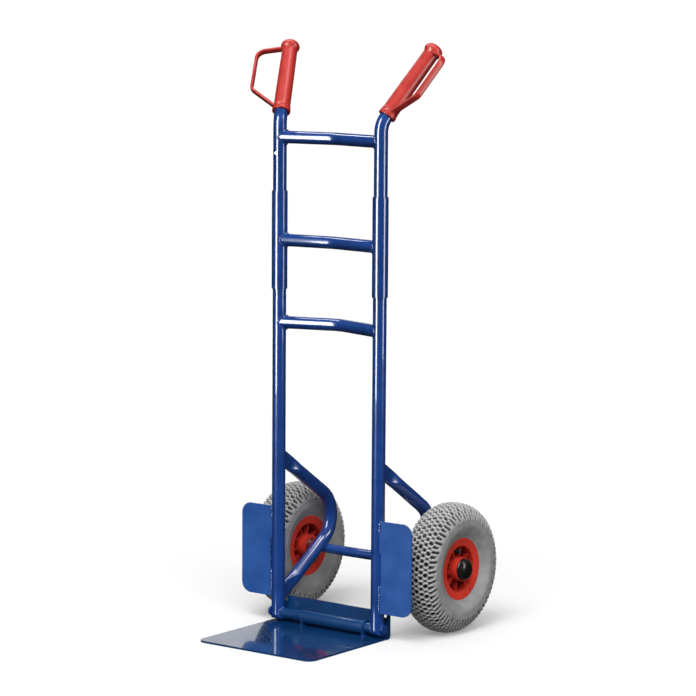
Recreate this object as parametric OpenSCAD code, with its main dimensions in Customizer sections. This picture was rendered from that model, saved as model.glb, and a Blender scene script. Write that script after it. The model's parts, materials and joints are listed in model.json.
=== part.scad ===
// Two-wheeled hand truck with a folding toe plate and a sliding frame lock.
// +X is the truck's left-to-right width, -Y is the side that carries the load, +Z is up.
// The origin lies on the floor, midway between the two uprights.

/* [Frame] */
// Outer diameter of the upright tubes
tube_d = 27; // [24:0.5:30]
// Wall of every round tube
tube_wall = 2; // [1.2:0.1:3]
// Distance between the axes of the two uprights
upright_spacing = 248; // [220:1:300]
// Diameter of the three cross tubes
bar_d = 25; // [20:0.5:26]
// Height of the top cross tube
top_bar_z = 978; // [960:1:985]
// Height of the lower cross tube
lower_bar_z = 610; // [540:1:640]
// How far the middle of the top cross tube is bent backwards
top_bar_bow = 22; // [10:1:40]
// How far the middle of the lock's cross tube is bent backwards
sleeve_bar_bow = 16; // [10:1:40]
// How far the middle of the lower cross tube is bent backwards
lower_bar_bow = 37; // [10:1:50]
// Radius of the bend in the middle of each cross tube
bar_bend_r = 60; // [50:1:120]

/* [Handles] */
// Height at which the handle's axis crosses the upright's axis
handle_z = 1013; // [1005:1:1060]
// Lean of the handle from the vertical
handle_tilt = 38.5; // [25:0.5:45]
// Direction of the handle's lean, 90 is straight back
handle_splay = 62; // [45:1:90]
// Radius of the bend below the handle
handle_bend_r = 48; // [35:1:48]
// Distance from the bend's corner to the tip of the grip
grip_end = 190; // [180:1:200]
// Diameter of the grip where the hand closes
grip_d = 32; // [30:0.5:36]
// Distance from the grip's axis to the hand guard
guard_reach = 65; // [60:1:75]

/* [Frame lock] */
// Height of the lower edge of the lock sleeves
sleeve_z = 677; // [660:1:690]
// Length of the lock sleeves
sleeve_length = 195; // [150:1:200]
// Outer diameter of the lock sleeves
sleeve_d = 31.4; // [31:0.1:33]
// Gap between a sleeve and its upright, on the radius
sleeve_gap = 0.2; // [0.1:0.05:0.3]
// Height of the hinge between the lower and the upper frame
fold_z = 712; // [705:1:720]
// Height of the pin that stops the lock
stop_z = 947; // [945:1:950]

/* [Toe plate] */
// Width of the toe plate
toe_width = 281; // [276:1:290]
// Distance from the uprights' axes to the front edge
toe_reach = 235; // [180:1:280]
// Thickness of the sheet
toe_sheet = 4; // [3:0.5:5]
// Outer face of the upstand behind the uprights
toe_back_y = 22; // [21:0.5:24]
// Height of the upstand
toe_upstand = 54; // [45:1:60]
// Radius of the front corners
toe_corner_r = 18; // [8:1:40]
// Height of the hinge axis above the floor
pivot_z = 22; // [22:0.5:24]
// Diameter of the cross tube that the toe plate turns on
pivot_tube_d = 20; // [18:0.5:20]
// Diameter of the hinge tube welded to the toe plate
hinge_tube_d = 27; // [26:0.5:28]

/* [Wheels] */
// Outer diameter of the tyres
wheel_d = 260; // [240:1:270]
// Width of the tyres
wheel_w = 82; // [78:1:84]
// Distance from the middle of the truck to the middle of each wheel
wheel_x = 191; // [191:1:200]
// Distance from the uprights' axes back to the axle
axle_y = 149; // [147:1:152]
// Diameter of the axle
axle_d = 20; // [18:0.5:20]
// Number of ribs on each face of a rim
rib_count = 9; // [5:1:12]

/* [Braces and guards] */
// Distance from the uprights' axes to the corner of the brace
brace_reach = 221; // [215:1:225]
// Height of the corner of the brace
brace_z = 197; // [195:1:200]
// Slope of both legs of the brace
brace_slope = 33.5; // [32:0.5:35]
// Radius of the bend in the brace
brace_bend_r = 60; // [45:1:62]
// Outer edge of the wheel guards, from the middle of the truck
guard_x = 211; // [190:1:215]
// Bottom edge of the wheel guards
guard_z = 55; // [50:1:70]
// Height of the wheel guards
guard_height = 184; // [150:1:190]
// Thickness of the wheel guards
guard_sheet = 3; // [2:0.5:4]

/* [Hidden] */
$fn = 64;
tube_r = tube_d / 2;
half_spacing = upright_spacing / 2;
sleeve_bar_z = sleeve_z + sleeve_length / 2;
sleeve_bore_r = tube_r + sleeve_gap;
hinge_gap = 0.1;
axle_z = wheel_d / 2;
axle_r = axle_d / 2;
bolt_r = 5;
bolt_hole_r = 5.1;
washer_t = 2;
nut_h = 4;
bearing_r = 14;
bearing_gap = 0.05;
hub_half = 33;
hub_r = 23.6;
web_half = 3;
rib_t = 3;
rim_flange_r = 62;
rim_well_r = 51;
rim_recess_r = 45;
rim_face_u = 26.4;
cap_bore_r = 20.05;
cap_seat_u = 24;
spacer_inner_x = half_spacing + tube_r;
spacer_outer_x = wheel_x - hub_half - washer_t - 0.4;
guard_y = -7;
handle_bend_t = handle_bend_r * tan(handle_tilt / 2);
grip_start = handle_bend_t + 0.4;
bend_draw = 0.05;
bend_lap = 0.5;
stop_r = 3;
stop_turn = 13;
tube_end = grip_end - 12;
hinge_tube_x0 = -62;
hinge_tube_x1 = 97;
lug_t = 4;

paint = [0.16, 0.29, 0.56];
plate_paint = [0.25, 0.42, 0.68];
red = [0.82, 0.18, 0.16];
steel = [0.72, 0.73, 0.75];
rubber = [0.52, 0.52, 0.52];
black = [0.08, 0.08, 0.08];

// ---- Helpers ----

// A piece drawn for the right side, or its mirror image for the left side
module on_side(side) {
    if (side > 0) children();
    else mirror([1, 0, 0]) children();
}

module ring2d(outer, inner) {
    difference() {
        circle(r = outer);
        circle(r = inner);
    }
}

module pipe(outer, inner, length) {
    linear_extrude(length) ring2d(outer, inner);
}

// A solid or a pipe along +X
module along_x(x0, x1) {
    translate([x0, 0, 0]) rotate([0, 90, 0]) linear_extrude(x1 - x0) children();
}

// Puts its children on the upright's axis, on the right
module at_upright() {
    translate([half_spacing, 0, 0]) children();
}

// Puts its children on the bore of the upright at the stop pin, with +Z forwards
module at_stop() {
    at_upright() rotate([0, 0, -stop_turn]) translate([0, -tube_r + tube_wall, stop_z]) rotate([90, 0, 0])
        children();
}

// Puts its children at the bend's corner, with +Z along the handle
module at_handle() {
    at_upright() translate([0, 0, handle_z]) rotate([0, 0, handle_splay]) rotate([0, handle_tilt, 0])
        children();
}

// Puts its children at the centre of the right wheel, with +Z pointing outboard and +X up
module at_wheel() {
    translate([wheel_x, axle_y, axle_z]) rotate([0, 90, 0]) rotate([0, 0, 180]) children();
}

// ---- Uprights ----

// The lower end is rounded about the hinge axis, so that the toe plate clears it
module lower_upright(side) {
    top_z = fold_z - 12;
    color(paint) on_side(side) at_upright() difference() {
        union() {
            translate([0, 0, pivot_z]) cylinder(r = tube_r, h = top_z - pivot_z);
            intersection() {
                cylinder(r = tube_r, h = pivot_z);
                translate([0, 0, pivot_z]) rotate([0, 90, 0]) cylinder(r = tube_r, h = tube_d, center = true);
            }
        }
        translate([0, 0, pivot_z + tube_r]) cylinder(r = tube_r - tube_wall, h = top_z);
        translate([0, 0, pivot_z]) rotate([0, 90, 0]) cylinder(r = bolt_hole_r, h = 2 * tube_d, center = true);
    }
}

// A bent round bar in the XZ plane, from the origin up and over towards +X.
// Bending draws the tube in a little, and its ends run on inside the straight tubes.
module bend(radius, bend_r, angle) {
    run_on = atan(bend_lap / bend_r);
    translate([bend_r, 0, 0]) mirror([1, 0, 0]) rotate([90, 0, 0]) rotate([0, 0, -run_on])
        rotate_extrude(angle = angle + 2 * run_on) translate([bend_r, 0]) circle(r = radius - bend_draw);
}

// A round bar that follows the upright, the bend and the handle
module upright_run(radius, bottom_z, top_s) {
    bend_z = handle_z - handle_bend_t;
    at_upright() translate([0, 0, bottom_z]) cylinder(r = radius, h = bend_z - bottom_z);
    at_upright() translate([0, 0, bend_z]) rotate([0, 0, handle_splay])
        bend(radius, handle_bend_r, handle_tilt);
    at_handle() translate([0, 0, handle_bend_t]) cylinder(r = radius, h = top_s - handle_bend_t);
}

module upper_upright(side) {
    bottom_z = fold_z - 11.5;
    color(paint) on_side(side) difference() {
        upright_run(tube_r, bottom_z, tube_end);
        upright_run(tube_r - tube_wall, bottom_z - 1, tube_end + 1);
        at_upright() translate([0, 0, fold_z]) rotate([0, 90, 0]) cylinder(r = 4, h = 2 * tube_d, center = true);
        if (side < 0) at_stop() cylinder(r = stop_r + 0.02, h = tube_wall + 4);
    }
}

// ---- Hinge between the lower and the upper frame, inside the sleeves ----

hinge_plug_r = tube_r - tube_wall;
tongue_t = 8;
tongue_w = 16;

module fold_hinge_tongue() {
    at_upright() difference() {
        union() {
            translate([0, 0, fold_z - 52]) cylinder(r = hinge_plug_r, h = 39.8);
            translate([-tongue_t / 2, -tongue_w / 2, fold_z - 13]) cube([tongue_t, tongue_w, 13]);
            translate([0, 0, fold_z]) rotate([0, 90, 0]) cylinder(r = tongue_w / 2, h = tongue_t, center = true);
        }
        translate([0, 0, fold_z]) rotate([0, 90, 0]) cylinder(r = 4.05, h = 30, center = true);
    }
}

module fold_hinge_fork() {
    at_upright() difference() {
        translate([0, 0, fold_z - 11]) cylinder(r = hinge_plug_r, h = 50);
        translate([-tongue_t / 2 - 0.2, -tube_r, fold_z - 12]) cube([tongue_t + 0.4, tube_d, 22]);
        translate([0, 0, fold_z]) rotate([0, 90, 0]) cylinder(r = 4, h = 30, center = true);
    }
}

module fold_hinge_tongues() {
    color(steel) for (side = [-1, 1]) on_side(side) fold_hinge_tongue();
}

module fold_hinge_forks() {
    color(steel) for (side = [-1, 1]) on_side(side) fold_hinge_fork();
}

module fold_hinge_pins() {
    color(steel) for (side = [-1, 1]) on_side(side)
        at_upright() translate([0, 0, fold_z]) rotate([0, 90, 0]) cylinder(r = 4, h = tube_d - 2, center = true);
}

// ---- Cross tubes ----

// One solid run of a cross tube: two straight legs and the bend between them
module bar_run(radius, height, bow) {
    slope = atan(bow / half_spacing);
    tangent = bar_bend_r * tan(slope);
    for (side = [-1, 1])
        on_side(side) translate([0, bow, height]) rotate([0, 0, -slope])
            along_x(tangent, half_spacing / cos(slope)) circle(r = radius);
    translate([-tangent * cos(slope), bow - tangent * sin(slope), height])
        rotate([0, 0, slope]) rotate([-90, 0, 0]) rotate([0, 90, 0]) bend(radius, bar_bend_r, 2 * slope);
}

// A cross tube bent backwards in its middle, cut to the curve of the two tubes that it meets
module bent_bar(height, bow, end_r) {
    difference() {
        bar_run(bar_d / 2, height, bow);
        bar_run(bar_d / 2 - tube_wall, height, bow);
        for (side = [-1, 1])
            translate([side * half_spacing, 0, height - bar_d]) cylinder(r = end_r, h = 2 * bar_d);
    }
}

module top_crossbar() {
    color(paint) bent_bar(top_bar_z, top_bar_bow, tube_r);
}

module lower_crossbar() {
    color(paint) bent_bar(lower_bar_z, lower_bar_bow, tube_r);
}

module sleeve_crossbar() {
    color(paint) bent_bar(sleeve_bar_z, sleeve_bar_bow, sleeve_d / 2);
}

// ---- Lock sleeves ----

module lock_sleeve(side) {
    color(paint) on_side(side) at_upright() translate([0, 0, sleeve_z])
        pipe(sleeve_d / 2, sleeve_bore_r, sleeve_length);
}

// The pin that the left sleeve stops against, driven into the front of the upright
module slide_stop_pin() {
    color(steel) mirror([1, 0, 0]) at_stop() cylinder(r = stop_r, h = tube_wall + 4);
}

// ---- Braces, axle and wheel guards ----

brace_turn = 90 - brace_slope;
brace_tangent = brace_bend_r * tan(brace_turn);
brace_leg = brace_reach / cos(brace_slope);
flat_t = 10;
flat_w = 30;
flat_length = 34;
flat_taper = 30;

// Puts its children on one leg's axis, with +Z from the bend's corner to the upright
module on_leg(angle) {
    translate([0, brace_reach, brace_z]) rotate([angle, 0, 0]) children();
}

// A round bar that follows both legs and the bend between them
module brace_run(radius, leg_end) {
    for (angle = [brace_turn, 180 - brace_turn])
        on_leg(angle) translate([0, 0, brace_tangent]) cylinder(r = radius, h = leg_end - brace_tangent);
    on_leg(180 - brace_turn) translate([0, 0, brace_tangent]) rotate([0, 180, -90])
        bend(radius, brace_bend_r, 2 * brace_turn);
}

// The end of a leg, pressed flat where it meets the upright
module brace_flat(angle) {
    flat_start = brace_leg - flat_length;
    on_leg(angle) {
        hull() {
            translate([0, 0, flat_start - flat_taper]) cylinder(r = tube_r - 0.2, h = 1, $fn = 32);
            translate([-flat_t / 2, -flat_w / 2, flat_start - 1]) cube([flat_t, flat_w, 1]);
        }
        translate([-flat_t / 2, -flat_w / 2, flat_start - 1]) cube([flat_t, flat_w, flat_length + 1]);
    }
}

module brace(side) {
    round_end = brace_leg - flat_length - flat_taper + 2;
    color(paint) on_side(side) at_upright() difference() {
        union() {
            difference() {
                brace_run(tube_r, round_end);
                brace_run(tube_r - tube_wall, round_end - 5);
            }
            brace_flat(brace_turn);
            brace_flat(180 - brace_turn);
        }
        cylinder(r = tube_r, h = 500);
        translate([0, axle_y, axle_z]) rotate([0, 90, 0]) cylinder(r = axle_r, h = 2 * tube_d, center = true);
    }
}

module axle() {
    axle_half = wheel_x + hub_half + 1;
    color(paint) difference() {
        translate([0, axle_y, axle_z]) along_x(-axle_half, axle_half) circle(r = axle_r);
        for (side = [-1, 1])
            translate([side * (wheel_x + cap_seat_u + 5), axle_y, axle_z]) cylinder(r = 2, h = 50, center = true);
    }
}

// The guard is welded to the upright above and below a narrow slit
module wheel_guard(side) {
    corner = 22;
    slit_x = tube_r + 0.4;
    slit_z = guard_z + 56;
    slit_length = 64;
    width = guard_x - half_spacing;
    color(plate_paint) on_side(side) difference() {
        translate([half_spacing, guard_y + guard_sheet / 2, guard_z]) rotate([90, 0, 0])
            linear_extrude(guard_sheet) {
            square([width - corner, guard_height]);
            translate([width - corner, corner]) square([corner, guard_height - 2 * corner]);
            translate([width - corner, corner]) circle(r = corner);
            translate([width - corner, guard_height - corner]) circle(r = corner);
        }
        at_upright() cylinder(r = tube_r, h = 500);
        translate([half_spacing, guard_y - 2 * guard_sheet, slit_z]) cube([slit_x, 4 * guard_sheet, slit_length]);
    }
}

// ---- Grips ----

// The moulded grip with its collar, its thumb flange and its hand guard
module grip(side) {
    bore_r = tube_r + 0.05;
    body_r = grip_d / 2;
    outline = [
        [bore_r, grip_start], [17.4, grip_start], [18.2, grip_start + 1.2], [18.2, grip_start + 7],
        [16.8, grip_start + 8], [16.8, grip_start + 9.5], [17.3, grip_start + 10.5],
        [17.3, grip_start + 13], [body_r + 0.5, grip_start + 15], [body_r, 90],
        [body_r - 0.6, grip_end - 30], [body_r + 0.4, grip_end - 22], [18.9, grip_end - 16],
        [18.9, grip_end - 11], [18, grip_end - 8.5], [16, grip_end - 5.5], [12.5, grip_end - 3],
        [8, grip_end - 1.2], [0, grip_end], [0, tube_end + 0.1], [bore_r, tube_end + 0.1]];
    color(red) on_side(side) at_handle() {
        rotate_extrude($fn = 96) polygon(outline);
        rotate([0, 0, -90]) hand_guard();
    }
}

// The unit normal of a route at point i, halfway between its two legs and mitred
function mitre(route, i) =
    let (before = route[max(i, 1)] - route[max(i, 1) - 1],
         after = route[min(i + 1, len(route) - 1)] - route[min(i + 1, len(route) - 1) - 1],
         n1 = [-before[1], before[0]] / norm(before),
         n2 = [-after[1], after[0]] / norm(after))
    (n1 + n2) / (1 + n1 * n2);

// The outline of a strip of even width along a route
function strip_outline(route, width) = concat(
    [for (i = [0 : len(route) - 1]) route[i] + mitre(route, i) * width / 2],
    [for (i = [len(route) - 1 : -1 : 0]) route[i] - mitre(route, i) * width / 2]);

// A D-shaped strip that stands off the outboard side of the grip
module hand_guard() {
    strip = 6.5;
    width = 12.5;
    route = [[14.5, grip_end - 19], [guard_reach - 18, grip_end - 24], [guard_reach - 8, grip_end - 27],
             [guard_reach - 2, grip_end - 33], [guard_reach, grip_end - 41], [guard_reach + 1, 80],
             [guard_reach, 73], [guard_reach - 5, 67], [16.4, grip_start + 14]];
    translate([0, width / 2, 0]) rotate([90, 0, 0]) linear_extrude(width)
        polygon(strip_outline(route, strip));
}

// ---- Toe plate and its hinge ----

// The sheet has a notch for the end of each brace
module toe_plate() {
    bend_r = 8;
    flat_y = toe_back_y - bend_r;
    half = toe_width / 2;
    notch_w = 19;
    notch_z = 42;
    color(plate_paint) {
        linear_extrude(toe_sheet) {
            translate([-half, toe_corner_r - toe_reach]) square([toe_width, toe_reach - toe_corner_r + flat_y]);
            translate([toe_corner_r - half, -toe_reach]) square([toe_width - 2 * toe_corner_r, toe_corner_r]);
            for (side = [-1, 1])
                translate([side * (half - toe_corner_r), toe_corner_r - toe_reach]) circle(r = toe_corner_r);
        }
        translate([-half, flat_y, bend_r]) rotate([0, 90, 0]) rotate_extrude(angle = 90)
            translate([bend_r - toe_sheet, 0]) square([toe_sheet, toe_width]);
        difference() {
            translate([-half, toe_back_y - toe_sheet, bend_r])
                cube([toe_width, toe_sheet, toe_upstand - bend_r]);
            for (side = [-1, 1])
                translate([side * half_spacing - notch_w / 2, toe_back_y - 2 * toe_sheet, notch_z])
                    cube([notch_w, 3 * toe_sheet, toe_upstand]);
        }
    }
}

module toe_hinge_tube() {
    color(plate_paint) translate([0, 0, pivot_z]) along_x(hinge_tube_x0, hinge_tube_x1)
        ring2d(hinge_tube_d / 2, pivot_tube_d / 2 + hinge_gap);
}

// Two small plates that carry the hinge tube on the toe plate
module toe_hinge_lugs() {
    lug_front = -9;
    lug_back = toe_back_y - toe_sheet;
    color(plate_paint) for (x = [hinge_tube_x0 + 2, hinge_tube_x1 - 2 - lug_t]) difference() {
        translate([x, lug_front, toe_sheet]) cube([lug_t, lug_back - lug_front, pivot_z - toe_sheet + 4]);
        translate([0, 0, pivot_z]) along_x(x - 1, x + lug_t + 1) circle(r = hinge_tube_d / 2);
        translate([x - 1, lug_back - 4, toe_sheet - 1]) cube([lug_t + 2, 5, 5]);
    }
}

module pivot_tube() {
    end_x = half_spacing;
    color(paint) difference() {
        translate([0, 0, pivot_z]) along_x(-end_x, end_x) ring2d(pivot_tube_d / 2, bolt_hole_r);
        for (side = [-1, 1]) translate([side * half_spacing, 0, 0]) cylinder(r = tube_r, h = 60);
    }
}

// The bolt has a low round head on the right
module pivot_bolt() {
    head_x = half_spacing + tube_r + washer_t;
    color(paint) translate([0, 0, pivot_z]) {
        along_x(-head_x - nut_h, head_x) circle(r = bolt_r);
        along_x(head_x, head_x + 3) circle(r = 9.6);
    }
}

// A thin nut, which the end of the bolt is level with
module pivot_nut() {
    nut_x = -half_spacing - tube_r - washer_t;
    color(paint) translate([0, 0, pivot_z]) along_x(nut_x - nut_h, nut_x) difference() {
        circle(r = 9.4, $fn = 6);
        circle(r = bolt_r);
    }
}

module pivot_washers() {
    seat_x = half_spacing + tube_r;
    color(paint) translate([0, 0, pivot_z]) for (side = [-1, 1])
        on_side(side) along_x(seat_x, seat_x + washer_t) ring2d(10.5, bolt_hole_r);
}

// ---- Wheels ----

// Half of the tyre's section, from the middle of the tread to the bead, as [across, radius]
function tyre_side(half_w, mid_r, top_r) = [
    for (i = [0 : 9]) let (a = i * 10)
        [half_w * pow(sin(a), 0.85), mid_r + (top_r - mid_r) * pow(cos(a), 0.85)]];

function mirrored(points) = [for (i = [len(points) - 1 : -1 : 0]) [-points[i][0], points[i][1]]];

module tyre(side) {
    half_w = wheel_w / 2;
    wall = 6;
    mid_r = 90;
    outer = concat(tyre_side(half_w, mid_r, wheel_d / 2),
        [[half_w, mid_r - 4], [half_w - 1.5, mid_r - 10], [half_w - 4.5, mid_r - 17],
         [half_w - 9, mid_r - 25], [29.5, rim_flange_r + 0.4],
         [25.8, rim_flange_r + 0.4], [24.8, 56], [23.8, rim_well_r + 0.05]]);
    inner = concat(tyre_side(half_w - wall, mid_r, wheel_d / 2 - 10),
        [[half_w - wall, mid_r - 6], [half_w - wall - 3, mid_r - 14], [26, 66], [20, 58],
         [19, rim_well_r + 0.05]]);
    right_outer = [for (i = [1 : len(outer) - 1]) outer[i]];
    inner_back = [for (i = [len(inner) - 1 : -1 : 0]) inner[i]];
    loop = concat(mirrored(right_outer), outer, inner_back, [for (i = [1 : len(inner) - 1])
        [-inner[i][0], inner[i][1]]]);
    color(rubber) on_side(side) at_wheel() rotate_extrude($fn = 96) polygon([for (p = loop) [p[1], p[0]]]);
}

// The air tube fills the space between the tyre and the rim
module inner_tube(side) {
    half_w = 31;
    mid_r = 86;
    rise = 31;
    drop = 34.5;
    wall = 1.5;
    section = [for (a = [0 : 15 : 345])
        [mid_r + (sin(a) > 0 ? rise : drop) * sin(a), half_w * cos(a)]];
    hollow = [for (p = section) [mid_r + (p[0] - mid_r) * (1 - wall / rise), p[1] * (1 - wall / half_w)]];
    color(black) on_side(side) at_wheel() rotate_extrude() difference() {
        polygon(section);
        polygon(hollow);
    }
}

module rim(side) {
    lip_r = rim_flange_r - 3;
    section = [
        [29, rim_flange_r], [26, rim_flange_r], [25, 56], [24, rim_well_r], [-24, rim_well_r], [-25, 56],
        [-26, rim_flange_r], [-29, rim_flange_r], [-29, lip_r], [-rim_face_u, rim_recess_r + 0.8],
        [-web_half, rim_recess_r], [-web_half, hub_r + 0.4], [-hub_half, hub_r], [-hub_half, bearing_r],
        [cap_seat_u, bearing_r], [cap_seat_u, cap_bore_r], [hub_half, cap_bore_r], [hub_half, hub_r],
        [web_half, hub_r + 0.4], [web_half, rim_recess_r], [rim_face_u, rim_recess_r + 0.8], [29, lip_r]];
    rib_depth = 15;
    color(red) on_side(side) at_wheel() difference() {
        union() {
            rotate_extrude($fn = 96) polygon([for (p = section) [p[1], p[0]]]);
            for (i = [0 : rib_count - 1]) rotate([0, 0, (i + 0.5) * 360 / rib_count])
                for (face = [-1, 1]) translate([hub_r - 0.6, -rib_t / 2, face > 0 ? web_half - 0.5 : -rib_depth - web_half])
                    cube([rim_recess_r - hub_r + 2, rib_t, rib_depth + 0.5]);
        }
        translate([rim_recess_r - 6, 0, 11]) rotate([0, 90, 0]) cylinder(r = 4.3, h = 20);
    }
}

// The valve comes through the rim's well and turns outboard
module valve(side) {
    color(black) on_side(side) at_wheel() {
        translate([35, 0, 11]) rotate([0, 90, 0]) cylinder(r = 4, h = 16.4);
        translate([35, 0, 11]) sphere(r = 4);
        translate([35, 0, 11]) cylinder(r = 4, h = 15);
    }
}

module bearing_sleeve(side) {
    color(steel) on_side(side) at_wheel() translate([0, 0, -hub_half])
        pipe(bearing_r - 0.02, bearing_r - 1, hub_half + cap_seat_u);
}

// The rollers and their cage turn as one solid ring on the axle
module roller_bearing(side) {
    ring_t = 3;
    cage_r = bearing_r - 1.1;
    span = hub_half + cap_seat_u - 2;
    roller_r = 1.3;
    color(steel) on_side(side) at_wheel() translate([0, 0, 1 - hub_half]) {
        pipe(cage_r, axle_r + bearing_gap, ring_t);
        translate([0, 0, span - ring_t]) pipe(cage_r, axle_r + bearing_gap, ring_t);
        for (i = [0 : 11]) rotate([0, 0, i * 30]) translate([(cage_r + axle_r + bearing_gap) / 2, 0, ring_t - 0.5])
            cylinder(r = roller_r, h = span - 2 * ring_t + 1, $fn = 24);
    }
}

module hub_cap(side) {
    skirt = [[18, cap_seat_u + 3], [cap_bore_r - 0.03, cap_seat_u + 3], [cap_bore_r - 0.03, hub_half],
             [22, hub_half], [22, hub_half + 1.5], [20.4, hub_half + 2.5]];
    dome = [for (a = [0 : 10 : 80]) [20.4 * pow(cos(a), 0.7), hub_half + 5 + 10 * sin(a)]];
    inside = [[0, hub_half + 15], [0, hub_half + 12.5], [14, hub_half + 10.5], [18, hub_half + 1]];
    color(black) on_side(side) at_wheel() rotate_extrude() polygon(concat(skirt, dome, inside));
}

module axle_spacers() {
    color(steel) translate([0, axle_y, axle_z]) for (side = [-1, 1]) on_side(side)
        along_x(spacer_inner_x, spacer_outer_x) ring2d(bearing_r, axle_r);
}

module axle_washers() {
    color(steel) translate([0, axle_y, axle_z]) for (side = [-1, 1]) on_side(side) {
        along_x(spacer_outer_x, spacer_outer_x + washer_t) ring2d(16, axle_r);
        along_x(wheel_x + cap_seat_u + 0.4, wheel_x + cap_seat_u + 2.2) ring2d(16, axle_r);
    }
}

module split_pins() {
    color(steel) for (side = [-1, 1]) translate([side * (wheel_x + cap_seat_u + 5), axle_y, axle_z]) {
        translate([0, 0, -14]) cylinder(r = 1.95, h = 28);
        translate([0, 0, 13.5]) sphere(r = 2.6, $fn = 24);
    }
}

// ---- The truck ----

lower_upright(-1);  // left_lower_upright
lower_upright(1);  // right_lower_upright
upper_upright(-1);  // left_upper_upright
upper_upright(1);  // right_upper_upright
fold_hinge_tongues();
fold_hinge_forks();
fold_hinge_pins();
top_crossbar();
lower_crossbar();
brace(-1);  // left_brace
brace(1);  // right_brace
wheel_guard(-1);  // left_wheel_guard
wheel_guard(1);  // right_wheel_guard
axle();
slide_stop_pin();
grip(-1);  // left_grip
grip(1);  // right_grip
pivot_tube();
pivot_bolt();
pivot_nut();
pivot_washers();
lock_sleeve(-1);  // left_lock_sleeve
lock_sleeve(1);  // right_lock_sleeve
sleeve_crossbar();
toe_plate();
toe_hinge_tube();
toe_hinge_lugs();
axle_spacers();
axle_washers();
split_pins();
tyre(-1);  // left_tyre
tyre(1);  // right_tyre
inner_tube(-1);  // left_inner_tube
inner_tube(1);  // right_inner_tube
rim(-1);  // left_rim
rim(1);  // right_rim
valve(-1);  // left_valve
valve(1);  // right_valve
bearing_sleeve(-1);  // left_bearing_sleeve
bearing_sleeve(1);  // right_bearing_sleeve
roller_bearing(-1);  // left_roller_bearing
roller_bearing(1);  // right_roller_bearing
hub_cap(-1);  // left_hub_cap
hub_cap(1);  // right_hub_cap
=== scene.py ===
import json
import math

import bpy
import numpy as np
from mathutils import Matrix, Vector


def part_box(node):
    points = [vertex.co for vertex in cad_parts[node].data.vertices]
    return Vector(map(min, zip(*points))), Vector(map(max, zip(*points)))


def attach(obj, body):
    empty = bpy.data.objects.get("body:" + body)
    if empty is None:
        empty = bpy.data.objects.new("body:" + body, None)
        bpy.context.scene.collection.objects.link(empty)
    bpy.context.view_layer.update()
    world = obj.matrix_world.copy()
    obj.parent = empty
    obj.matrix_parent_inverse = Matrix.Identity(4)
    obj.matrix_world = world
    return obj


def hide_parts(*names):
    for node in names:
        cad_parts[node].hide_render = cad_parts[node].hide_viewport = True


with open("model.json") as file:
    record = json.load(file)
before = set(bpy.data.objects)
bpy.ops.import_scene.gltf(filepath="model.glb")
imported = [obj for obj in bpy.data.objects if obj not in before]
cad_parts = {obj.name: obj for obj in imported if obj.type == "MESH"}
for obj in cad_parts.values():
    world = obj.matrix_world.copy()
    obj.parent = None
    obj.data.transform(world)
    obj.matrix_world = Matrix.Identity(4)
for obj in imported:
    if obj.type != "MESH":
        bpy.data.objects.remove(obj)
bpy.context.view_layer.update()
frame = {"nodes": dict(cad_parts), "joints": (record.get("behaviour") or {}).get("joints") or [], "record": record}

MM = 0.001
X_AXIS = np.array([1.0, 0.0, 0.0])
SIDES = {"left": -1, "right": 1}


def node_box(name):
    low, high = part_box(name)
    return np.array(low), np.array(high)


def half_height(name):
    low, high = node_box(name)
    return (high[2] - low[2]) / 2


joints = {joint["name"]: joint for joint in frame["joints"]}
wheel_centre = np.array(joints["right_wheel_spin"]["pos_m"])
pivot = np.array(joints["toe_fold"]["pos_m"])

upright_low, upright_high = node_box("right_lower_upright")
TUBE_R = (upright_high[0] - upright_low[0]) / 2
UPRIGHT_X = (upright_high[0] + upright_low[0]) / 2
sleeve_low, sleeve_high = node_box("right_lock_sleeve")
SLEEVE_R = (sleeve_high[0] - sleeve_low[0]) / 2
AXLE_R = half_height("axle")


# ---- Mesh helpers ----

def add_mesh(name, vertices, faces, body, material, values=None):
    """A smooth mesh piece that rides on a body, with named values on its vertices."""
    mesh = bpy.data.meshes.new(name)
    mesh.from_pydata([tuple(v) for v in vertices], [], faces)
    mesh.update()
    mesh.shade_smooth()
    mesh.materials.append(material)
    for key, amounts in (values or {}).items():
        layer = mesh.attributes.new(key, "FLOAT", "POINT")
        layer.data.foreach_set("value", np.asarray(amounts, dtype=np.float32).reshape(-1))
    piece = bpy.data.objects.new(name, mesh)
    bpy.context.scene.collection.objects.link(piece)
    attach(piece, body)
    return piece


def grid_faces(rows, columns, wrap_rows=False, wrap_columns=True):
    """Quads over a grid of rows of vertices."""
    faces = []
    for i in range(rows if wrap_rows else rows - 1):
        a = i * columns
        b = ((i + 1) % rows) * columns
        for j in range(columns if wrap_columns else columns - 1):
            k = (j + 1) % columns
            faces.append((a + j, a + k, b + k, b + j))
    return faces


def sweep(path, section, normal, closed=False):
    """Vertices and faces of a section carried along a path.

    section(i) gives the points, as (across, along the normal), at point i. normal is a fixed
    direction, or one for each point, that the section's second axis keeps to.
    """
    path = np.asarray(path)
    count = len(path)
    if closed:
        tangent = np.roll(path, -1, axis=0) - np.roll(path, 1, axis=0)
    else:
        tangent = np.gradient(path, axis=0)
    tangent /= np.linalg.norm(tangent, axis=1)[:, None]
    normal = np.broadcast_to(np.asarray(normal, dtype=float), path.shape)
    up = normal - tangent * np.sum(normal * tangent, axis=1)[:, None]
    up /= np.linalg.norm(up, axis=1)[:, None]
    across = np.cross(tangent, up)
    rings = []
    for i in range(count):
        points = np.asarray(section(i))
        rings.append(path[i] + points[:, :1] * across[i] + points[:, 1:] * up[i])
    columns = len(rings[0])
    faces = grid_faces(count, columns, wrap_rows=closed)
    if not closed:
        faces.append(tuple(range(columns)))
        faces.append(tuple(range((count - 1) * columns, count * columns))[::-1])
    return np.concatenate(rings), faces


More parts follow.
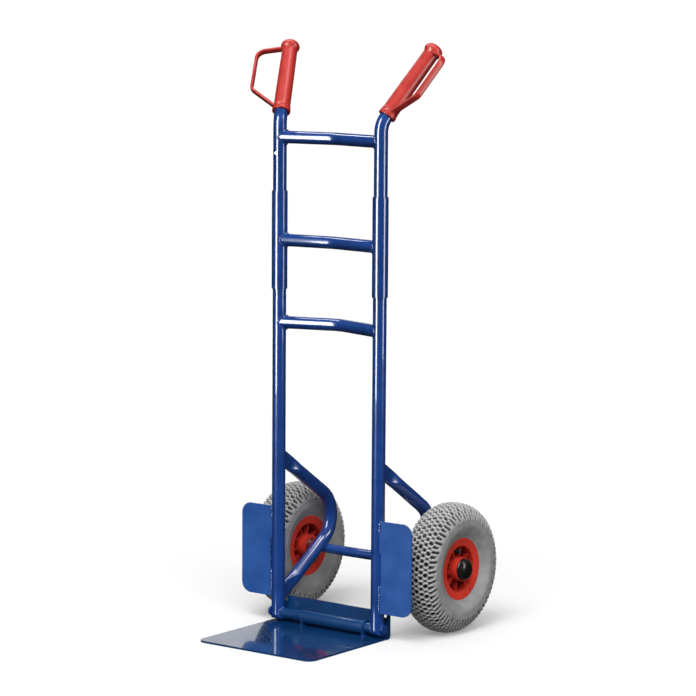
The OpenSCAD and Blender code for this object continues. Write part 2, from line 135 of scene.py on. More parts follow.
def circle_section(radius, steps):
    angles = np.linspace(0, 2 * math.pi, steps, endpoint=False)
    return np.stack([np.cos(angles), np.sin(angles)], axis=1) * radius


def superellipse_section(half_a, half_b, power, steps=32):
    """A closed outline between an ellipse (power 2) and a box (high power)."""
    angles = np.linspace(0, 2 * math.pi, steps, endpoint=False)
    c, s = np.cos(angles), np.sin(angles)
    return np.stack([np.sign(c) * np.abs(c) ** (2 / power) * half_a,
                     np.sign(s) * np.abs(s) ** (2 / power) * half_b], axis=1)


def lathe(profile, steps, place):
    """Turns a profile of (radius, height) about Z, then puts it in place with a 4x4 matrix."""
    profile = np.asarray(profile)
    angles = np.linspace(0, 2 * math.pi, steps, endpoint=False)
    rings = np.stack([
        np.stack([profile[:, 0] * math.cos(a), profile[:, 0] * math.sin(a), profile[:, 1]], axis=1)
        for a in angles])
    vertices = rings.transpose(1, 0, 2).reshape(-1, 3)
    return moved(vertices, place), grid_faces(len(profile), steps)


def moved(vertices, place):
    matrix = np.array(place)
    return vertices @ matrix[:3, :3].T + matrix[:3, 3]


def smooth_route(corners, radii, steps):
    """Points along straight legs with a circular bend of the given radius at each inner corner."""
    corners = [np.asarray(c, dtype=float) for c in corners]
    route = [corners[0]]
    for before, corner, after, radius in zip(corners, corners[1:], corners[2:], radii):
        a = (before - corner) / np.linalg.norm(before - corner)
        b = (after - corner) / np.linalg.norm(after - corner)
        half = math.acos(np.clip(np.dot(a, b), -1, 1)) / 2
        middle = (a + b) / np.linalg.norm(a + b)
        centre = corner + middle * radius / math.sin(half)
        start = corner + a * radius / math.tan(half) - centre
        end = corner + b * radius / math.tan(half) - centre
        turn = math.pi - 2 * half
        for i in range(steps + 1):
            f = i / steps
            p = (math.sin((1 - f) * turn) * start + math.sin(f * turn) * end) / math.sin(turn)
            route.append(centre + p)
    route.append(corners[-1])
    return np.array(route)


def distance_along(points):
    """How far each point of a line is from its first one, measured along the line."""
    steps = np.linalg.norm(np.diff(points, axis=0), axis=1)
    return np.concatenate([[0], np.cumsum(steps)])


def resampled(route, spacing):
    """The same route with evenly spaced points."""
    distance = distance_along(route)
    count = max(int(distance[-1] / spacing), 4) + 1
    wanted = np.linspace(0, distance[-1], count)
    return np.stack([np.interp(wanted, distance, route[:, k]) for k in range(3)], axis=1)


# ---- Materials ----

def new_material(name, base, roughness, metallic=0.0):
    material = bpy.data.materials.new(name)
    material.use_nodes = True
    shader = material.node_tree.nodes["Principled BSDF"]
    shader.inputs["Base Color"].default_value = (*base, 1)
    shader.inputs["Roughness"].default_value = roughness
    shader.inputs["Metallic"].default_value = metallic
    return material, material.node_tree.nodes, material.node_tree.links, shader


def noise(nodes, links, scale, detail=3.0):
    """Noise in the object's own coordinates, in metres."""
    place = nodes.new("ShaderNodeTexCoord")
    texture = nodes.new("ShaderNodeTexNoise")
    texture.inputs["Scale"].default_value = scale
    texture.inputs["Detail"].default_value = detail
    links.new(place.outputs["Object"], texture.inputs["Vector"])
    return texture.outputs["Fac"]


def vary_colour(nodes, links, shader, factor, dark, light, low=0.35, high=0.65):
    ramp = nodes.new("ShaderNodeValToRGB")
    ramp.color_ramp.elements[0].position = low
    ramp.color_ramp.elements[0].color = (*dark, 1)
    ramp.color_ramp.elements[1].position = high
    ramp.color_ramp.elements[1].color = (*light, 1)
    links.new(factor, ramp.inputs["Fac"])
    links.new(ramp.outputs["Color"], shader.inputs["Base Color"])
    return ramp


def vary_roughness(nodes, links, shader, factor, low, high):
    spread = nodes.new("ShaderNodeMapRange")
    spread.inputs["To Min"].default_value = low
    spread.inputs["To Max"].default_value = high
    links.new(factor, spread.inputs["Value"])
    links.new(spread.outputs["Result"], shader.inputs["Roughness"])


def add_bump(nodes, links, shader, height, strength, distance):
    bump = nodes.new("ShaderNodeBump")
    bump.inputs["Strength"].default_value = strength
    bump.inputs["Distance"].default_value = distance
    links.new(height, bump.inputs["Height"])
    links.new(bump.outputs["Normal"], shader.inputs["Normal"])


def powder_coat(name, dark, light):
    """Gloss powder coat: a slight orange peel, a cloudy colour and a hard clear gloss."""
    material, nodes, links, shader = new_material(name, light, 0.28)
    shader.inputs["Coat Weight"].default_value = 1.0
    shader.inputs["Coat Roughness"].default_value = 0.04
    vary_colour(nodes, links, shader, noise(nodes, links, 18), dark, light)
    vary_roughness(nodes, links, shader, noise(nodes, links, 55), 0.16, 0.3)
    add_bump(nodes, links, shader, noise(nodes, links, 260, 1), strength=0.05, distance=0.0004)
    return material


def moulded_plastic(name, dark, light, roughness):
    """Moulded plastic or plain rubber: a faint cloud in the colour and a fine grain."""
    material, nodes, links, shader = new_material(name, light, roughness)
    vary_colour(nodes, links, shader, noise(nodes, links, 30), dark, light)
    vary_roughness(nodes, links, shader, noise(nodes, links, 140), roughness - 0.06, roughness + 0.08)
    add_bump(nodes, links, shader, noise(nodes, links, 900, 2), strength=0.15, distance=0.0003)
    return material


def moulded_rim():
    """Glossy red plastic, bright on the flanges, with painted shade that makes it duller and darker deep in the
    recesses.
    """
    material, nodes, links, shader = new_material("rim_red", (0.7, 0.04, 0.03), 0.25)
    place = nodes.new("ShaderNodeTexCoord")
    parts = nodes.new("ShaderNodeSeparateXYZ")
    links.new(place.outputs["Object"], parts.inputs["Vector"])
    # How far a point is from its wheel's middle plane.
    value = parts.outputs["X"]
    for operation, amount in (("ABSOLUTE", 0), ("SUBTRACT", float(wheel_centre[0])), ("ABSOLUTE", 0)):
        step = nodes.new("ShaderNodeMath")
        step.operation = operation
        step.inputs[1].default_value = amount
        links.new(value, step.inputs[0])
        value = step.outputs["Value"]
    # Painted shade: the red grows darker towards the middle plane, deep in the recesses, with a little noise added
    # to it.
    depth = nodes.new("ShaderNodeMapRange")
    depth.inputs["From Min"].default_value = 4 * MM
    depth.inputs["From Max"].default_value = 28 * MM
    links.new(value, depth.inputs["Value"])
    cloud = nodes.new("ShaderNodeMath")
    cloud.operation = "MULTIPLY_ADD"
    cloud.inputs[1].default_value = 0.12
    links.new(noise(nodes, links, 25), cloud.inputs[0])
    links.new(depth.outputs["Result"], cloud.inputs[2])
    # The dark colour is the painted shade deep in the recesses; the light one is the red of the flanges.
    vary_colour(nodes, links, shader, cloud.outputs["Value"],
                (0.16, 0.004, 0.008), (0.78, 0.05, 0.03), 0.1, 1.0)
    vary_roughness(nodes, links, shader, noise(nodes, links, 140), 0.2, 0.32)
    add_bump(nodes, links, shader, noise(nodes, links, 500, 2), strength=0.06, distance=0.0003)
    return material


def mixed_colour(nodes, links, factor, colour, other):
    """A colour socket mixed towards a fixed colour by a factor."""
    mix = nodes.new("ShaderNodeMix")
    mix.data_type = "RGBA"
    links.new(factor, mix.inputs[0])
    links.new(colour, mix.inputs[6])
    mix.inputs[7].default_value = (*other, 1)
    return mix.outputs[2]


def vertex_value(nodes, name):
    attribute = nodes.new("ShaderNodeAttribute")
    attribute.attribute_name = name
    return attribute.outputs["Fac"]


def tyre_rubber():
    """Grey rubber, lighter on the worn tread, with painted shade that makes the gaps between its blocks black."""
    material, nodes, links, shader = new_material("tyre_rubber", (0.3, 0.3, 0.3), 0.7)
    ramp = vary_colour(nodes, links, shader, noise(nodes, links, 60, 5),
                       (0.29, 0.29, 0.295), (0.365, 0.365, 0.37))
    tread = vertex_value(nodes, "tread")
    groove = vertex_value(nodes, "groove")
    worn = mixed_colour(nodes, links, tread, ramp.outputs["Color"], (0.47, 0.47, 0.465))
    # Painted shade: the gaps between the tread blocks go near black.
    dark = mixed_colour(nodes, links, groove, worn, (0.004, 0.004, 0.004))
    links.new(dark, shader.inputs["Base Color"])
    vary_roughness(nodes, links, shader, noise(nodes, links, 120), 0.5, 0.75)
    add_bump(nodes, links, shader, noise(nodes, links, 700, 4), strength=0.3, distance=0.0004)
    return material


def zinc_steel():
    material, nodes, links, shader = new_material("zinc_steel", (0.6, 0.6, 0.62), 0.35, metallic=1.0)
    vary_colour(nodes, links, shader, noise(nodes, links, 90), (0.45, 0.45, 0.47), (0.68, 0.68, 0.7))
    vary_roughness(nodes, links, shader, noise(nodes, links, 300), 0.25, 0.5)
    add_bump(nodes, links, shader, noise(nodes, links, 1200, 2), strength=0.1, distance=0.0002)
    return material


MATERIALS = {
    "blue_paint": powder_coat("blue_paint", (0.007, 0.042, 0.205), (0.011, 0.058, 0.27)),
    "plate_paint": powder_coat("plate_paint", (0.02, 0.09, 0.35), (0.032, 0.125, 0.43)),
    "red_plastic": moulded_plastic("red_plastic", (0.46, 0.022, 0.016), (0.56, 0.036, 0.026), 0.34),
    "grey_tyre": tyre_rubber(),
    "black_rubber": moulded_plastic("black_rubber", (0.012, 0.012, 0.012), (0.03, 0.03, 0.03), 0.7),
    "black_plastic": moulded_plastic("black_plastic", (0.006, 0.006, 0.006), (0.014, 0.014, 0.014), 0.2),
    "zinc_steel": zinc_steel(),
}
rim_red = moulded_rim()
toe_paint = powder_coat("toe_paint", (0.003, 0.036, 0.13), (0.005, 0.05, 0.17))


def finish_cad_nodes():
    """Gives every CAD node its slot's material, and softens the edges of the rims and sheet parts."""
    for row in frame["record"]["subparts"]:
        piece = frame["nodes"][row["node"]]
        piece.data.materials.clear()
        piece.data.materials.append(MATERIALS[row["material_slot"]])
        piece.data.shade_smooth()
        piece.data.set_sharp_from_angle(angle=math.radians(32))
    for side in SIDES:
        rim = frame["nodes"][f"{side}_rim"]
        rim.data.materials[0] = rim_red
        soften(rim, 0.8 * MM)
        soften(frame["nodes"][f"{side}_wheel_guard"], 0.6 * MM)
    for name in ("toe_plate", "toe_hinge_tube", "toe_hinge_lugs", "pivot_tube"):
        frame["nodes"][name].data.materials[0] = toe_paint
    soften(frame["nodes"]["toe_plate"], 0.8 * MM)
    soften(frame["nodes"]["toe_hinge_lugs"], 0.6 * MM)


def soften(piece, width):
    bevel = piece.modifiers.new("soft_edges", "BEVEL")
    bevel.width = width
    bevel.segments = 2
    bevel.limit_method = "ANGLE"
    bevel.angle_limit = math.radians(40)
    bevel.harden_normals = True


# ---- Tyres ----

TREAD_COLUMNS = 8
TREAD_PITCHES = 70
TREAD_STEPS = 910
TREAD_HALF = 40 * MM
SHOULDER_REACH = 16 * MM
TREAD_DEPTH = 4 * MM
GAP_HALF_W = 5.8 * MM
GAP_HALF_L = 5.1 * MM
CUT_HALF = 2.1 * MM
SLIT_HALF = 1.9 * MM
WIDEST_R = 90 * MM
RIM_SEAT_R = 62 * MM
SECTION_STEP = 1.3 * MM
CROWN_POWER = 0.85
RING_RADII = (70.5 * MM, 74.5 * MM, 100 * MM)
RING_HALF_W = 0.9 * MM
RING_HEIGHT = 0.7 * MM


def tyre_outline(half_w, top_r):
    """The tyre's outer section from one edge on the rim to the other, as (across, radius)."""
    angles = np.linspace(0, math.pi / 2, 40)
    crown_h = top_r - WIDEST_R
    crown = np.stack([half_w * np.sin(angles) ** CROWN_POWER,
                      WIDEST_R + crown_h * np.maximum(np.cos(angles), 0) ** CROWN_POWER], axis=1)
    wall = np.array([[-0.2, -4], [-2.2, -10], [-6, -17], [-10.4, -24]]) * MM + [half_w, WIDEST_R]
    seat = np.array([[29.2, 0.8], [28.4, -0.4], [25, -3]]) * MM + [0, RIM_SEAT_R]
    half = np.concatenate([crown, wall, seat])
    return np.concatenate([(half * [-1, 1])[:0:-1], half])


def spaced(outline, spacing):
    """Evenly spaced points along an outline, with their distance from its middle."""
    distance = distance_along(outline)
    distance -= distance[-1] / 2
    wanted = np.linspace(distance[0], distance[-1], int((distance[-1] - distance[0]) / spacing) + 1)
    points = np.stack([np.interp(wanted, distance, outline[:, k]) for k in range(2)], axis=1)
    return wanted, points


def off_whole(value):
    """How far a value is from the nearest whole number."""
    return np.abs(value - np.round(value))


def tread_groove(across, angle):
    """1 in a gap and 0 on a block: small lozenge blocks, with deep gaps where their corners meet."""
    turns = angle * TREAD_PITCHES / (2 * math.pi)
    pitch = 2 * math.pi * wheel_centre[2] / TREAD_PITCHES
    width = 2 * TREAD_HALF / TREAD_COLUMNS
    column = (across + TREAD_HALF) / width
    row = turns + 0.5 * (np.round(column) % 2)
    # The gaps differ a little in size.
    size = 1 + 0.28 * np.cos(math.pi * np.round(row) + 1.3 * np.round(column))
    gap = 1 - (off_whole(column) * width / GAP_HALF_W + off_whole(row) * pitch / GAP_HALF_L) / size
    diagonal = np.minimum(off_whole(turns - column / 2), off_whole(turns + column / 2))
    cut = 1 - diagonal * pitch / CUT_HALF
    tread = np.maximum(np.clip(gap * 3.2, 0, 1), 0.6 * np.clip(cut * 1.6, 0, 1))
    shoulder = np.abs(across) - TREAD_HALF
    # The slits slant over the shoulder, and every second one is shorter.
    slit = turns + 0.02 * shoulder / MM
    reach = SHOULDER_REACH * np.where(np.round(slit) % 2 == 0, 1.0, 0.6)
    slit_cut = np.clip(1.9 - off_whole(slit) * pitch / SLIT_HALF, 0, 1)
    slit_cut = slit_cut * np.clip((reach - shoulder) / (3 * MM), 0, 1)
    return np.where(shoulder < 0, tread, slit_cut)


def build_tyre(side):
    low, high = node_box(f"{side}_tyre")
    centre = (low + high) / 2
    half_w = (high[0] - low[0]) / 2
    across, section = spaced(tyre_outline(half_w, wheel_centre[2]), SECTION_STEP)
    angles = np.linspace(0, 2 * math.pi, TREAD_STEPS, endpoint=False)
    grid_across, grid_angle = np.meshgrid(across, angles)
    groove = tread_groove(grid_across, grid_angle)
    edges = np.gradient(section, axis=0)
    outward = np.stack([-edges[:, 1], edges[:, 0]], axis=1)
    outward /= np.linalg.norm(outward, axis=1)[:, None]
    rings = sum(np.exp(-((section[:, 1] - r) / RING_HALF_W) ** 2) for r in RING_RADII)
    rings = rings * (np.abs(section[:, 0]) > 0.8 * half_w)
    depth = RING_HEIGHT * rings[None, :] - TREAD_DEPTH * groove
    sideways = section[None, :, 0] + outward[None, :, 0] * depth
    radius = section[None, :, 1] + outward[None, :, 1] * depth
    vertices = np.stack([centre[0] + sideways,
                         centre[1] + radius * np.cos(grid_angle),
                         centre[2] + radius * np.sin(grid_angle)], axis=2).reshape(-1, 3)
    faces = grid_faces(TREAD_STEPS, len(across), wrap_rows=True, wrap_columns=False)
    on_tread = np.clip((TREAD_HALF + SHOULDER_REACH - np.abs(grid_across)) / SHOULDER_REACH, 0, 1)
    # The groove values sink the gaps here and, in the tyre's material, paint shade in them near black.
    tyre = add_mesh(f"{side}_tyre_tread", vertices, faces, f"{side}_wheel",
                    MATERIALS["grey_tyre"], {"groove": groove, "tread": on_tread})
    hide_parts(f"{side}_tyre")


# ---- Braces with pressed ends ----

BRACE_CORNER_Y = 221 * MM
BRACE_CORNER_Z = 197 * MM
BRACE_SLOPE = math.radians(33.5)
BRACE_BEND_R = 60 * MM
FLAT_HALF_T = 5 * MM
FLAT_HALF_W = 15 * MM
FLAT_LENGTH = 26 * MM
FLAT_BLEND = 30 * MM
END_OVERLAP = 2 * MM


def brace_point(distance, leg):
    """A point on a leg's axis, from the bend's corner towards the upright; leg is 1 above, -1 below."""
    return np.array([0, BRACE_CORNER_Y - distance * math.cos(BRACE_SLOPE),
                     BRACE_CORNER_Z + leg * distance * math.sin(BRACE_SLOPE)])


def build_brace(side):
    x = SIDES[side] * UPRIGHT_X
    length = (BRACE_CORNER_Y - TUBE_R + END_OVERLAP) / math.cos(BRACE_SLOPE)
    corners = [brace_point(length, 1), brace_point(0, 1), brace_point(length, -1)]
    route = resampled(smooth_route(corners, [BRACE_BEND_R], steps=24), 4 * MM)
    distance = distance_along(route)
    to_end = np.minimum(distance, distance[-1] - distance)

    def section(i):
        flat = 1 - np.clip((to_end[i] - FLAT_LENGTH) / FLAT_BLEND, 0, 1)
        flat = flat * flat * (3 - 2 * flat)
        return superellipse_section(TUBE_R + (FLAT_HALF_W - TUBE_R) * flat,
                                    TUBE_R + (FLAT_HALF_T - TUBE_R) * flat, 2 + 1.6 * flat)

    vertices, faces = sweep(route, section, X_AXIS)
    brace = add_mesh(f"{side}_brace_tube", vertices + [x, 0, 0], faces, "frame",
                     MATERIALS["blue_paint"])
    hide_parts(f"{side}_brace")
    for leg, word in ((1, "upper"), (-1, "lower")):
        build_brace_weld(side, leg, word)


# ---- Weld beads ----

WELD_STEP = 1.1 * MM
WELD_LIFT = 0.4 * MM
RIPPLE_POINTS = 5
LUG_HALF_T = 2 * MM


def bead(name, path, body, radius, normal, closed=False):
    """A rippled weld bead along a path."""
    path = np.asarray(path)
    ripple = 1 + 0.22 * np.sin(np.arange(len(path)) * 2 * math.pi / RIPPLE_POINTS)
    wander = 1 + 0.12 * np.sin(np.arange(len(path)) * 0.37 + len(name))

    def section(i):
        end = 1.0 if closed else min(1.0, 0.35 + 0.3 * min(i, len(path) - 1 - i))
        return circle_section(radius * ripple[i] * wander[i] * end, 10)

    vertices, faces = sweep(path, section, normal, closed)
    add_mesh(name, vertices, faces, body, MATERIALS["blue_paint"])


def tube_joint_path(post_x, post_r, bar_z, bar_r, inward, slope=0.0):
    """Where the round end of a bar along X meets a round post: a closed saddle curve.

    slope is how far the bar goes back for each metre inward.
    """
    angles = np.linspace(0, 2 * math.pi, 60, endpoint=False)
    y = bar_r * np.cos(angles)
    z = bar_r * np.sin(angles)
    reach = np.sqrt(np.maximum(post_r ** 2 - y ** 2, 0)) + 0.6 * MM
    return np.stack([post_x + inward * reach, y + slope * reach, bar_z + z], axis=1)


def build_crossbar_welds():
    rows = [("top_crossbar", "frame", TUBE_R), ("lower_crossbar", "frame", TUBE_R),
            ("sleeve_crossbar", "frame_lock", SLEEVE_R)]
    for node, body, post_r in rows:
        low, high = node_box(node)
        bar_r = half_height(node)
        slope = (high[1] - bar_r) / UPRIGHT_X
        for side, sign in SIDES.items():
            path = tube_joint_path(sign * UPRIGHT_X, post_r, (low[2] + high[2]) / 2,
                                   bar_r + WELD_LIFT, -sign, slope)
            bead(f"{side}_{node}_weld", path, body, 2.2 * MM, X_AXIS, closed=True)
    tube_r = half_height("pivot_tube")
    for side, sign in SIDES.items():
        path = tube_joint_path(sign * UPRIGHT_X, TUBE_R, pivot[2], tube_r + WELD_LIFT, -sign)
        bead(f"{side}_pivot_tube_weld", path, "frame", 1.6 * MM, X_AXIS, closed=True)


def build_brace_weld(side, leg, word):
    """The bead round a pressed end, on the back of the upright."""
    outline = superellipse_section(FLAT_HALF_W + 0.8 * MM, FLAT_HALF_T + 0.8 * MM, 3.6, steps=56)
    x = SIDES[side] * UPRIGHT_X
    path = []
    for along, across in outline:
        surface_y = math.sqrt(TUBE_R ** 2 - across ** 2)
        distance = (BRACE_CORNER_Y - surface_y + along * math.sin(BRACE_SLOPE)) / math.cos(BRACE_SLOPE)
        z = BRACE_CORNER_Z + leg * (distance * math.sin(BRACE_SLOPE) + along * math.cos(BRACE_SLOPE))
        path.append([x + across, surface_y + WELD_LIFT, z])
    bead(f"{side}_brace_{word}_weld", path, "frame", 1.7 * MM, (0, 1, 0), closed=True)


def build_axle_welds():
    """Beads where the axle leaves each brace, on both faces of the tube."""
    ring_r = AXLE_R + 0.3 * MM
    for side, sign in SIDES.items():
        for face in (-1, 1):
            path = []
            for angle in np.linspace(0, 2 * math.pi, 120):
                y = wheel_centre[1] + ring_r * math.cos(angle)
                z = wheel_centre[2] + ring_r * math.sin(angle)
                off = ((y - BRACE_CORNER_Y) * math.sin(BRACE_SLOPE)
                       - (z - BRACE_CORNER_Z) * math.cos(BRACE_SLOPE))
                if abs(off) < TUBE_R - 0.3 * MM:
                    reach = math.sqrt(TUBE_R ** 2 - off ** 2)
                    path.append([sign * UPRIGHT_X + face * reach, y, z])
            # Where the ring misses the tube the path has a gap, and the bead starts after it.
            path = np.array(path)
            jump = np.argmax(np.linalg.norm(np.diff(path, axis=0), axis=1))
            if np.linalg.norm(path[jump + 1] - path[jump]) > 5 * MM:
                path = np.roll(path, -(jump + 1), axis=0)
            word = "outer" if face * sign > 0 else "inner"
            bead(f"{side}_axle_{word}_weld", path, "frame", 2.0 * MM, X_AXIS)


def build_guard_welds():
    """Beads that hold each wheel guard to its upright, above and below the slit between them."""
    for side, sign in SIDES.items():
        low, high = node_box(f"{side}_wheel_guard")
        for face, y in (("front", low[1]), ("back", high[1])):
            x = sign * (UPRIGHT_X + math.sqrt(TUBE_R ** 2 - y ** 2))
            out = -1 if face == "front" else 1
            for word, z0, z1 in (("top", high[2] - 26 * MM, high[2] - 2 * MM),
                                 ("bottom", low[2] + 2 * MM, low[2] + 54 * MM)):
                z = np.arange(z0, z1, WELD_STEP)
                path = np.stack([np.full_like(z, x) + sign * 0.6 * MM * np.sin(z * 900),
                                 np.full_like(z, y + out * 0.3 * MM), z], axis=1)
                bead(f"{side}_guard_{face}_{word}_weld", path, "frame", 2.0 * MM, X_AXIS)


def build_hinge_welds():
    """Beads along the feet of the toe plate's lugs, and where the hinge tube sits on them."""
    low, high = node_box("toe_hinge_lugs")
    tube_r = half_height("toe_hinge_tube")
    plate_top = low[2]
    for word, x in (("left", low[0] + LUG_HALF_T), ("right", high[0] - LUG_HALF_T)):
        y = np.arange(low[1], high[1] - 6 * MM, WELD_STEP)
        for face in (-1, 1):
            path = np.stack([np.full_like(y, x + face * 2.4 * MM), y,
                             np.full_like(y, plate_top + WELD_LIFT)], axis=1)
            bead(f"{word}_lug_weld_{'in' if face < 0 else 'out'}", path, "toe", 1.4 * MM, (0, 0, 1))
        angles = np.radians(np.arange(200, 345, 5.0))
        path = np.stack([np.full_like(angles, x + 2.3 * MM),
                         (tube_r + 0.2 * MM) * np.cos(angles),
                         pivot[2] + (tube_r + 0.2 * MM) * np.sin(angles)], axis=1)
        bead(f"{word}_lug_tube_weld", path, "toe", 1.3 * MM, X_AXIS)


# ---- Grips ----

HANDLE_TILT = math.radians(38.5)
HANDLE_SPLAY = math.radians(62)
HANDLE_Z = 1013 * MM
GUARD_TURN = math.radians(-90)
GRIP_START = 17.2 * MM
GRIP_END = 190 * MM
GUARD_REACH = 65 * MM
STRIP_HALF_W = 7 * MM
STRIP_HALF_T = 3.1 * MM


def handle_place(sign):
    """The matrix that puts +Z along a handle, from the bend's corner."""
    place = (Matrix.Translation((UPRIGHT_X, 0, HANDLE_Z)) @ Matrix.Rotation(HANDLE_SPLAY, 4, "Z")
             @ Matrix.Rotation(HANDLE_TILT, 4, "Y"))
    return Matrix.Scale(-1, 4, (1, 0, 0)) @ place if sign < 0 else place


def grip_profile():
    """(radius, height) from the mouth over the collar and the body to the domed thumb flange."""
    collar = [(13.7, 2), (13.7, 0.2), (15, 0), (17.2, 0.1), (18, 0.8), (18.2, 2), (18.2, 6), (17.8, 7.2),
              (16.9, 8), (16.7, 8.9), (17, 9.8), (17.4, 10.6), (17.4, 12), (17, 13.6), (16.6, 15.5)]
    body = [(16.5, 25), (16.4, 45), (16.2, 70), (16, 95), (15.7, 120), (15.5, 140), (15.5, 147)]
    flange = [(15.8, -22), (16.6, -19.5), (17.9, -17.3), (18.7, -15.2), (19, -13), (18.7, -10.8),
              (17.8, -8.2), (16, -5.6), (13, -3.2), (9.4, -1.5), (5, -0.4), (0.3, 0)]
    lower = np.array(collar + body) * MM + [0, GRIP_START]
    upper = np.array(flange) * MM + [0, GRIP_END]
    return np.concatenate([lower, upper])


def dense(profile, times=4):
    """A smooth curve through a profile's points (Catmull-Rom)."""
    p = np.asarray(profile)
    p = np.concatenate([[2 * p[0] - p[1]], p, [2 * p[-1] - p[-2]]])
    out = []
    for i in range(1, len(p) - 2):
        for j in range(times):
            t = j / times
            out.append(0.5 * (2 * p[i] + (p[i + 1] - p[i - 1]) * t
                              + (2 * p[i - 1] - 5 * p[i] + 4 * p[i + 1] - p[i + 2]) * t ** 2
                              + (3 * p[i] - p[i - 1] - 3 * p[i + 1] + p[i + 2]) * t ** 3))
    out.append(p[-2])
    return np.array(out)


def build_grip(side):
    sign = SIDES[side]
    place = handle_place(sign)
    vertices, faces = lathe(dense(grip_profile()), 64, place)
    grip = add_mesh(f"{side}_grip_body", vertices, faces, "frame", MATERIALS["red_plastic"])
    corners = [(13 * MM, 0, GRIP_END - 18.5 * MM), (GUARD_REACH, 0, GRIP_END - 28 * MM),
               (GUARD_REACH + 1 * MM, 0, 71 * MM), (13 * MM, 0, GRIP_START + 12 * MM)]
    route = resampled(smooth_route(corners, [19 * MM, 13 * MM], steps=12), 2 * MM)
    strip = superellipse_section(STRIP_HALF_W, STRIP_HALF_T, 3.2, steps=28)
    across = np.array([0.0, 1.0, 0.0])
    inward = np.cross(np.gradient(route, axis=0), across)
    vertices, faces = sweep(route, lambda _: strip, inward)
    guard_place = place @ Matrix.Rotation(GUARD_TURN, 4, "Z")
    add_mesh(f"{side}_hand_guard", moved(vertices, guard_place), faces, "frame",
             MATERIALS["red_plastic"])
    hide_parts(f"{side}_grip")


# ---- Camera, floor and light ----

CAMERA_AZIMUTH = 37.03
CAMERA_PITCH = 7.41
CAMERA_ROLL = 0.39
CAMERA_DISTANCE = 5.896
CAMERA_LENS = 155.1
TARGET_RIGHT = 0.03796
TARGET_HEIGHT = 0.56822
FLOOR_HALF = 400


def build_camera():
    azimuth, pitch, roll = (math.radians(a) for a in (CAMERA_AZIMUTH, CAMERA_PITCH, CAMERA_ROLL))
    level = math.cos(pitch)
    back = Vector((math.sin(azimuth) * level, -math.cos(azimuth) * level, math.sin(pitch)))
    right = Vector((math.cos(azimuth), math.sin(azimuth), 0))
    up = back.cross(right)
    turned_right = right * math.cos(roll) + up * math.sin(roll)
    turned_up = up * math.cos(roll) - right * math.sin(roll)
    target = right * TARGET_RIGHT + Vector((0, 0, TARGET_HEIGHT))
    data = bpy.data.cameras.new("camera")
    data.sensor_width = 36
    data.lens = CAMERA_LENS
    data.clip_end = 100
    camera = bpy.data.objects.new("camera", data)
    rotation = Matrix((turned_right, turned_up, back)).transposed()
    camera.matrix_world = Matrix.Translation(target + back * CAMERA_DISTANCE) @ rotation.to_4x4()
    bpy.context.scene.collection.objects.link(camera)
    bpy.context.scene.camera = camera


def build_floor():
    """A pale floor that shows soft shadows and throws no light back on to the object."""
    mesh = bpy.data.meshes.new("floor")
    corners = [(x * FLOOR_HALF, y * FLOOR_HALF, 0) for x, y in ((-1, -1), (1, -1), (1, 1), (-1, 1))]
    mesh.from_pydata(corners, [], [(0, 1, 2, 3)])
    material, _, _, shader = new_material("floor", (0.72, 0.72, 0.72), 0.9)
    shader.inputs["Specular IOR Level"].default_value = 0
    shader.inputs["Emission Color"].default_value = (1, 1, 1, 1)
    shader.inputs["Emission Strength"].default_value = 0.2
    mesh.materials.append(material)
    floor = bpy.data.objects.new("floor", mesh)
    bpy.context.scene.collection.objects.link(floor)
    floor.visible_diffuse = False
    floor.visible_glossy = False


def white_background(nodes, node, strength):
    """A white background shader of the given strength; makes the node if there is none."""
    node = node or nodes.new("ShaderNodeBackground")
    node.inputs["Color"].default_value = (1, 1, 1, 1)
    node.inputs["Strength"].default_value = strength
    return node.outputs[0]


def switched(nodes, links, ray, usual, special):
    """One shader as a rule, and another for one kind of ray."""
    path = nodes.new("ShaderNodeLightPath")
    mix = nodes.new("ShaderNodeMixShader")
    links.new(path.outputs[ray], mix.inputs[0])
    links.new(usual, mix.inputs[1])
    links.new(special, mix.inputs[2])
    return mix.outputs[0]


def build_world():
    """A white surround for the camera, and a dim one for the light and the reflections."""
    world = bpy.data.worlds.new("studio")
    world.use_nodes = True
    nodes, links = world.node_tree.nodes, world.node_tree.links
    ambient = white_background(nodes, nodes["Background"], 0.14)
    reflected = white_background(nodes, None, 0.02)
    seen = white_background(nodes, None, 1.1)
    by_gloss = switched(nodes, links, "Is Glossy Ray", ambient, reflected)
    by_camera = switched(nodes, links, "Is Camera Ray", by_gloss, seen)
    links.new(by_camera, nodes["World Output"].inputs["Surface"])
    bpy.context.scene.world = world


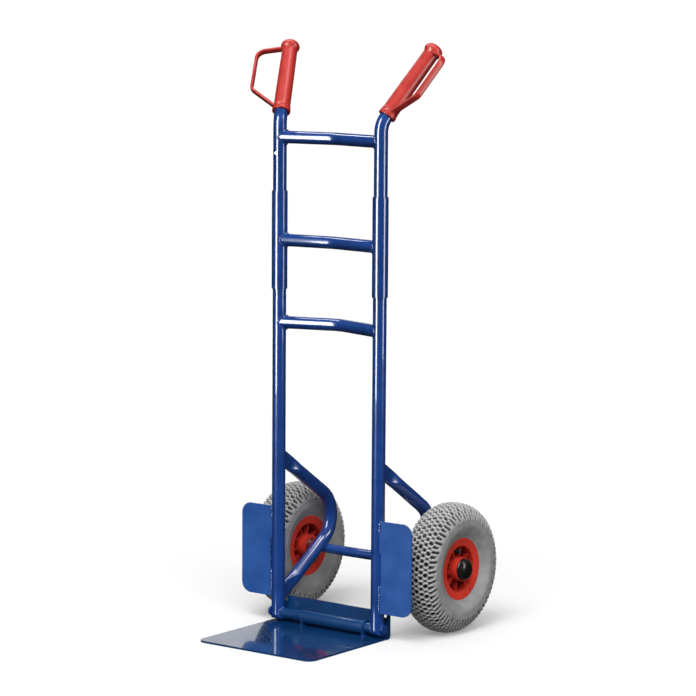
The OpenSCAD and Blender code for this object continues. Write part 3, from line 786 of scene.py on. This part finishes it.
def add_sun(name, azimuth, elevation, strength, spread):
    """A soft light from far away; azimuth 0 is in front of the truck, 90 is on its right."""
    data = bpy.data.lights.new(name, "SUN")
    data.energy = strength
    data.angle = math.radians(spread)
    lamp = bpy.data.objects.new(name, data)
    a, e = math.radians(azimuth), math.radians(elevation)
    to_lamp = Vector((math.sin(a) * math.cos(e), -math.cos(a) * math.cos(e), math.sin(e)))
    lamp.rotation_euler = to_lamp.to_track_quat("Z", "Y").to_euler()
    lamp.visible_glossy = False
    bpy.context.scene.collection.objects.link(lamp)


def add_panel(name, location, away, width, height, radiance):
    """A softbox, turned away from a direction, that only shows as a streak in glossy surfaces."""
    data = bpy.data.lights.new(name, "AREA")
    data.shape = "RECTANGLE"
    data.size = width
    data.size_y = height
    data.energy = radiance * math.pi * width * height
    lamp = bpy.data.objects.new(name, data)
    lamp.location = location
    lamp.rotation_euler = Vector(away).to_track_quat("Z", "Y").to_euler()
    lamp.visible_diffuse = False
    bpy.context.scene.collection.objects.link(lamp)


def add_strip(name, azimuth, distance, width, low, high, radiance):
    """A tall softbox between two heights, facing the truck."""
    a = math.radians(azimuth)
    away = (math.sin(a), -math.cos(a), 0)
    location = (distance * away[0], distance * away[1], (low + high) / 2)
    add_panel(name, location, away, width, high - low, radiance)


def build_lights():
    build_world()
    add_sun("key", azimuth=14, elevation=50, strength=2.3, spread=36)
    add_sun("fill", azimuth=54, elevation=30, strength=1.45, spread=40)
    add_sun("top", azimuth=-60, elevation=78, strength=0.5, spread=60)
    add_sun("back", azimuth=200, elevation=40, strength=0.35, spread=60)
    add_strip("left_strip", azimuth=-13.5, distance=2.2, width=0.82, low=0.15, high=2.6, radiance=17)
    add_strip("right_strip", azimuth=98, distance=2.2, width=0.6, low=0.28, high=2.6, radiance=8)
    add_strip("back_wall", azimuth=217, distance=8, width=7, low=1.3, high=4.6, radiance=0.8)
    add_panel("overhead", location=(-0.4, 0.28, 2.8), away=(0, 0, 1), width=3.2, height=0.3, radiance=13)
    bpy.context.scene.view_settings.view_transform = "Standard"


build_camera()
build_floor()
build_lights()
finish_cad_nodes()
for side_name in SIDES:
    build_tyre(side_name)
    build_brace(side_name)
    build_grip(side_name)
build_crossbar_welds()
build_axle_welds()
build_guard_welds()
build_hinge_welds()

bpy.context.view_layer.update()
